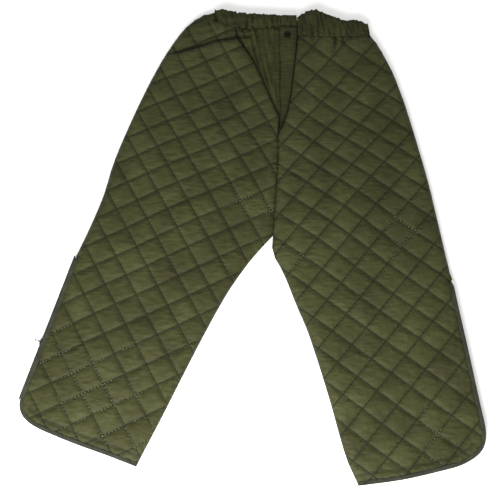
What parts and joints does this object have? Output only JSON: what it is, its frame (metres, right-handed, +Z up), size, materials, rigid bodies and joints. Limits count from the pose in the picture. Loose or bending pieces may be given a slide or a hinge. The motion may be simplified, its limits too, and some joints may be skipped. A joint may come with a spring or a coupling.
{
  "type": "quilted liner trousers",
  "caption": "Diamond-quilted thermal liner trousers laid flat, with elastic waist, snap fly, bound hems and side zips at the lower legs.",
  "frame": {"origin": "middle of the bounding box, on the surface the trousers lie on", "axes": "+X towards the wearer's left leg, +Y towards the waist, +Z up out of the front"},
  "size_m": [0.8928, 0.991, 0.0261],
  "materials": {
    "shell": "quilted nylon taffeta, slight sheen",
    "wadding": "polyester wadding",
    "lining": "nylon taffeta",
    "plain": "unquilted nylon taffeta",
    "casing": "gathered nylon taffeta",
    "binding": "folded bias tape",
    "tape": "woven polyester tape",
    "elastic": "knitted elastic",
    "coil": "moulded nylon coil",
    "metal": "dull enamelled metal",
    "snap": "black enamel"
  },
  "bodies": {
    "trousers": {"right_front_shell": "shell", "right_front_wadding": "wadding", "right_front_lining": "lining", "right_back_shell": "shell", "right_back_wadding": "wadding", "right_back_lining": "lining", "left_front_shell": "shell", "left_front_wadding": "wadding", "left_front_lining": "lining", "left_back_shell": "shell", "left_back_wadding": "wadding", "left_back_lining": "lining", "right_front_binding": "binding", "right_back_binding": "binding", "right_side_seam_tape": "tape", "right_inseam_seam_tape": "tape", "left_front_binding": "binding", "left_back_binding": "binding", "left_side_seam_tape": "tape", "left_inseam_seam_tape": "tape", "front_rise_tape": "tape", "back_rise_tape": "tape", "waistband_front_right": "casing", "waist_elastic_front_right": "elastic", "waistband_front_left": "casing", "waist_elastic_front_left": "elastic", "waistband_back": "casing", "waist_elastic_back": "elastic", "fly_underlap": "plain", "fly_gathered_facing": "plain", "snap_stud": "metal", "snap_post": "metal", "right_zip_front_tape": "tape", "right_zip_front_coil": "coil", "right_zip_back_tape": "tape", "right_zip_back_coil": "coil", "right_zip_first_stop": "metal", "right_zip_last_stop": "metal", "left_zip_front_tape": "tape", "left_zip_front_coil": "coil", "left_zip_back_tape": "tape", "left_zip_back_coil": "coil", "left_zip_first_stop": "metal", "left_zip_last_stop": "metal"},
    "fly": {"fly_flap": "plain", "waistband_fly_end": "casing", "snap_cap": "snap", "snap_socket": "metal"},
    "right_slider": {"right_zip_slider": "metal"},
    "left_slider": {"left_zip_slider": "metal"},
    "right_pull": {"right_zip_pull": "metal", "right_zip_pull_ring": "metal"},
    "left_pull": {"left_zip_pull": "metal", "left_zip_pull_ring": "metal"}
  },
  "joints": [
    {"name": "right_zip_slide", "type": "slide", "parent": "trousers", "child": "right_slider", "axis": [0.3133, 0.9497, 0], "range_m": [-0.106, 0.17]},
    {"name": "right_zip_pull", "type": "hinge", "parent": "right_slider", "child": "right_pull", "pos_m": [-0.4134, -0.22084, 0.0117], "axis": [0, 0, 1], "range_deg": [-80, 80]},
    {"name": "left_zip_slide", "type": "slide", "parent": "trousers", "child": "left_slider", "axis": [-0.1603, 0.9871, 0], "range_m": [-0.106, 0.155]},
    {"name": "left_zip_pull", "type": "hinge", "parent": "left_slider", "child": "left_pull", "pos_m": [0.41789, -0.27986, 0.0117], "axis": [0, 0, -1], "range_deg": [0, 140]},
    {"name": "fly_fold", "type": "hinge", "parent": "trousers", "child": "fly", "pos_m": [0.062, 0.34, 0.0232], "axis": [0, -1, 0], "range_deg": [0, 110]}
  ]
}
